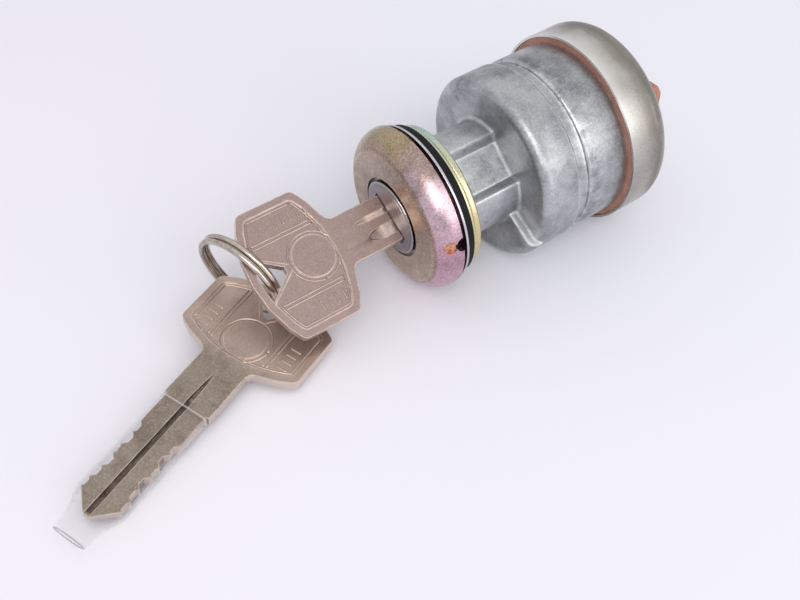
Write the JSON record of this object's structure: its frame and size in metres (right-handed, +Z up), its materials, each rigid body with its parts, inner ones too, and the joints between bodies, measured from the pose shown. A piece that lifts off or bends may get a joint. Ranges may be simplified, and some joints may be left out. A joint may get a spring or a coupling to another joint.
{
  "type": "ignition switch",
  "caption": "Panel-mounted ignition lock switch: zinc body, domed bezel nut, turning key plug, rear cap with blade connector, key in the lock and a spare key on a split ring.",
  "frame": {"origin": "on the lock axis, at the rear face of the panel gasket, where the panel is clamped", "axes": "+Y along the lock axis from the key to the connector, +Z up, +X to the driver's right"},
  "size_m": [0.0457, 0.139, 0.0412],
  "materials": {
    "zinc_casting": "as cast, stained and scuffed",
    "bezel_chromate": "yellow chromate plating with pink and green sheen",
    "bright_steel": "bright zinc plating",
    "gasket_rubber": "matt",
    "nut_chromate": "pale yellow-green chromate plating",
    "ferrule_chrome": "polished",
    "plug_metal": "plated casting",
    "contact_brass": "plain stamped",
    "phenolic": "moulded phenolic",
    "cap_steel": "satin plated",
    "key_nickel": "worn nickel",
    "ring_steel": "bright",
    "sleeve_clear": "clear soft tube"
  },
  "bodies": {
    "housing": {"body": "zinc_casting", "bezel_nut": "bezel_chromate", "bezel_washer": "bright_steel", "panel_gasket": "gasket_rubber", "back_washer": "nut_chromate", "back_nut": "nut_chromate", "plug_ferrule": "ferrule_chrome", "return_spring": "bright_steel", "terminal_base": "phenolic", "terminal_battery": "contact_brass", "terminal_accessory": "contact_brass", "terminal_ignition": "contact_brass", "terminal_start": "contact_brass", "terminal_resistor": "contact_brass", "rear_cap": "cap_steel", "base_screws": "bright_steel"},
    "plug": {"lock_plug": "plug_metal", "wafer_tumblers": "contact_brass", "wafer_springs": "bright_steel", "plug_clip": "bright_steel", "rotor": "phenolic", "detent_ball": "bright_steel", "detent_spring": "bright_steel", "moving_contact": "contact_brass", "contact_springs": "bright_steel"},
    "inserted_key": {"key": "key_nickel"},
    "ring": {"key_ring": "ring_steel"},
    "spare": {"spare_key": "key_nickel", "key_sleeve": "sleeve_clear"}
  },
  "joints": [
    {"name": "plug_turn", "type": "hinge", "parent": "housing", "child": "plug", "pos_m": [0, 0, 0], "axis": [0, 1, 0], "range_deg": [0, 95], "deforming": ["return_spring"]},
    {"name": "key_pull", "type": "slide", "parent": "plug", "child": "inserted_key", "axis": [0, -1, 0], "range_m": [0, 0.04], "deforming": ["wafer_tumblers", "wafer_springs"]},
    {"name": "ring_swing", "type": "hinge", "parent": "inserted_key", "child": "ring", "pos_m": [0.00058, -0.03589, -0.00034], "axis": [0.8616, 0, -0.5075], "range_deg": [-25, 0]},
    {"name": "spare_swing", "type": "hinge", "parent": "ring", "child": "spare", "pos_m": [-0.00217, -0.03574, -0.01008], "axis": [-0.7211, -0.187, -0.6671], "range_deg": [-40, 30]}
  ]
}
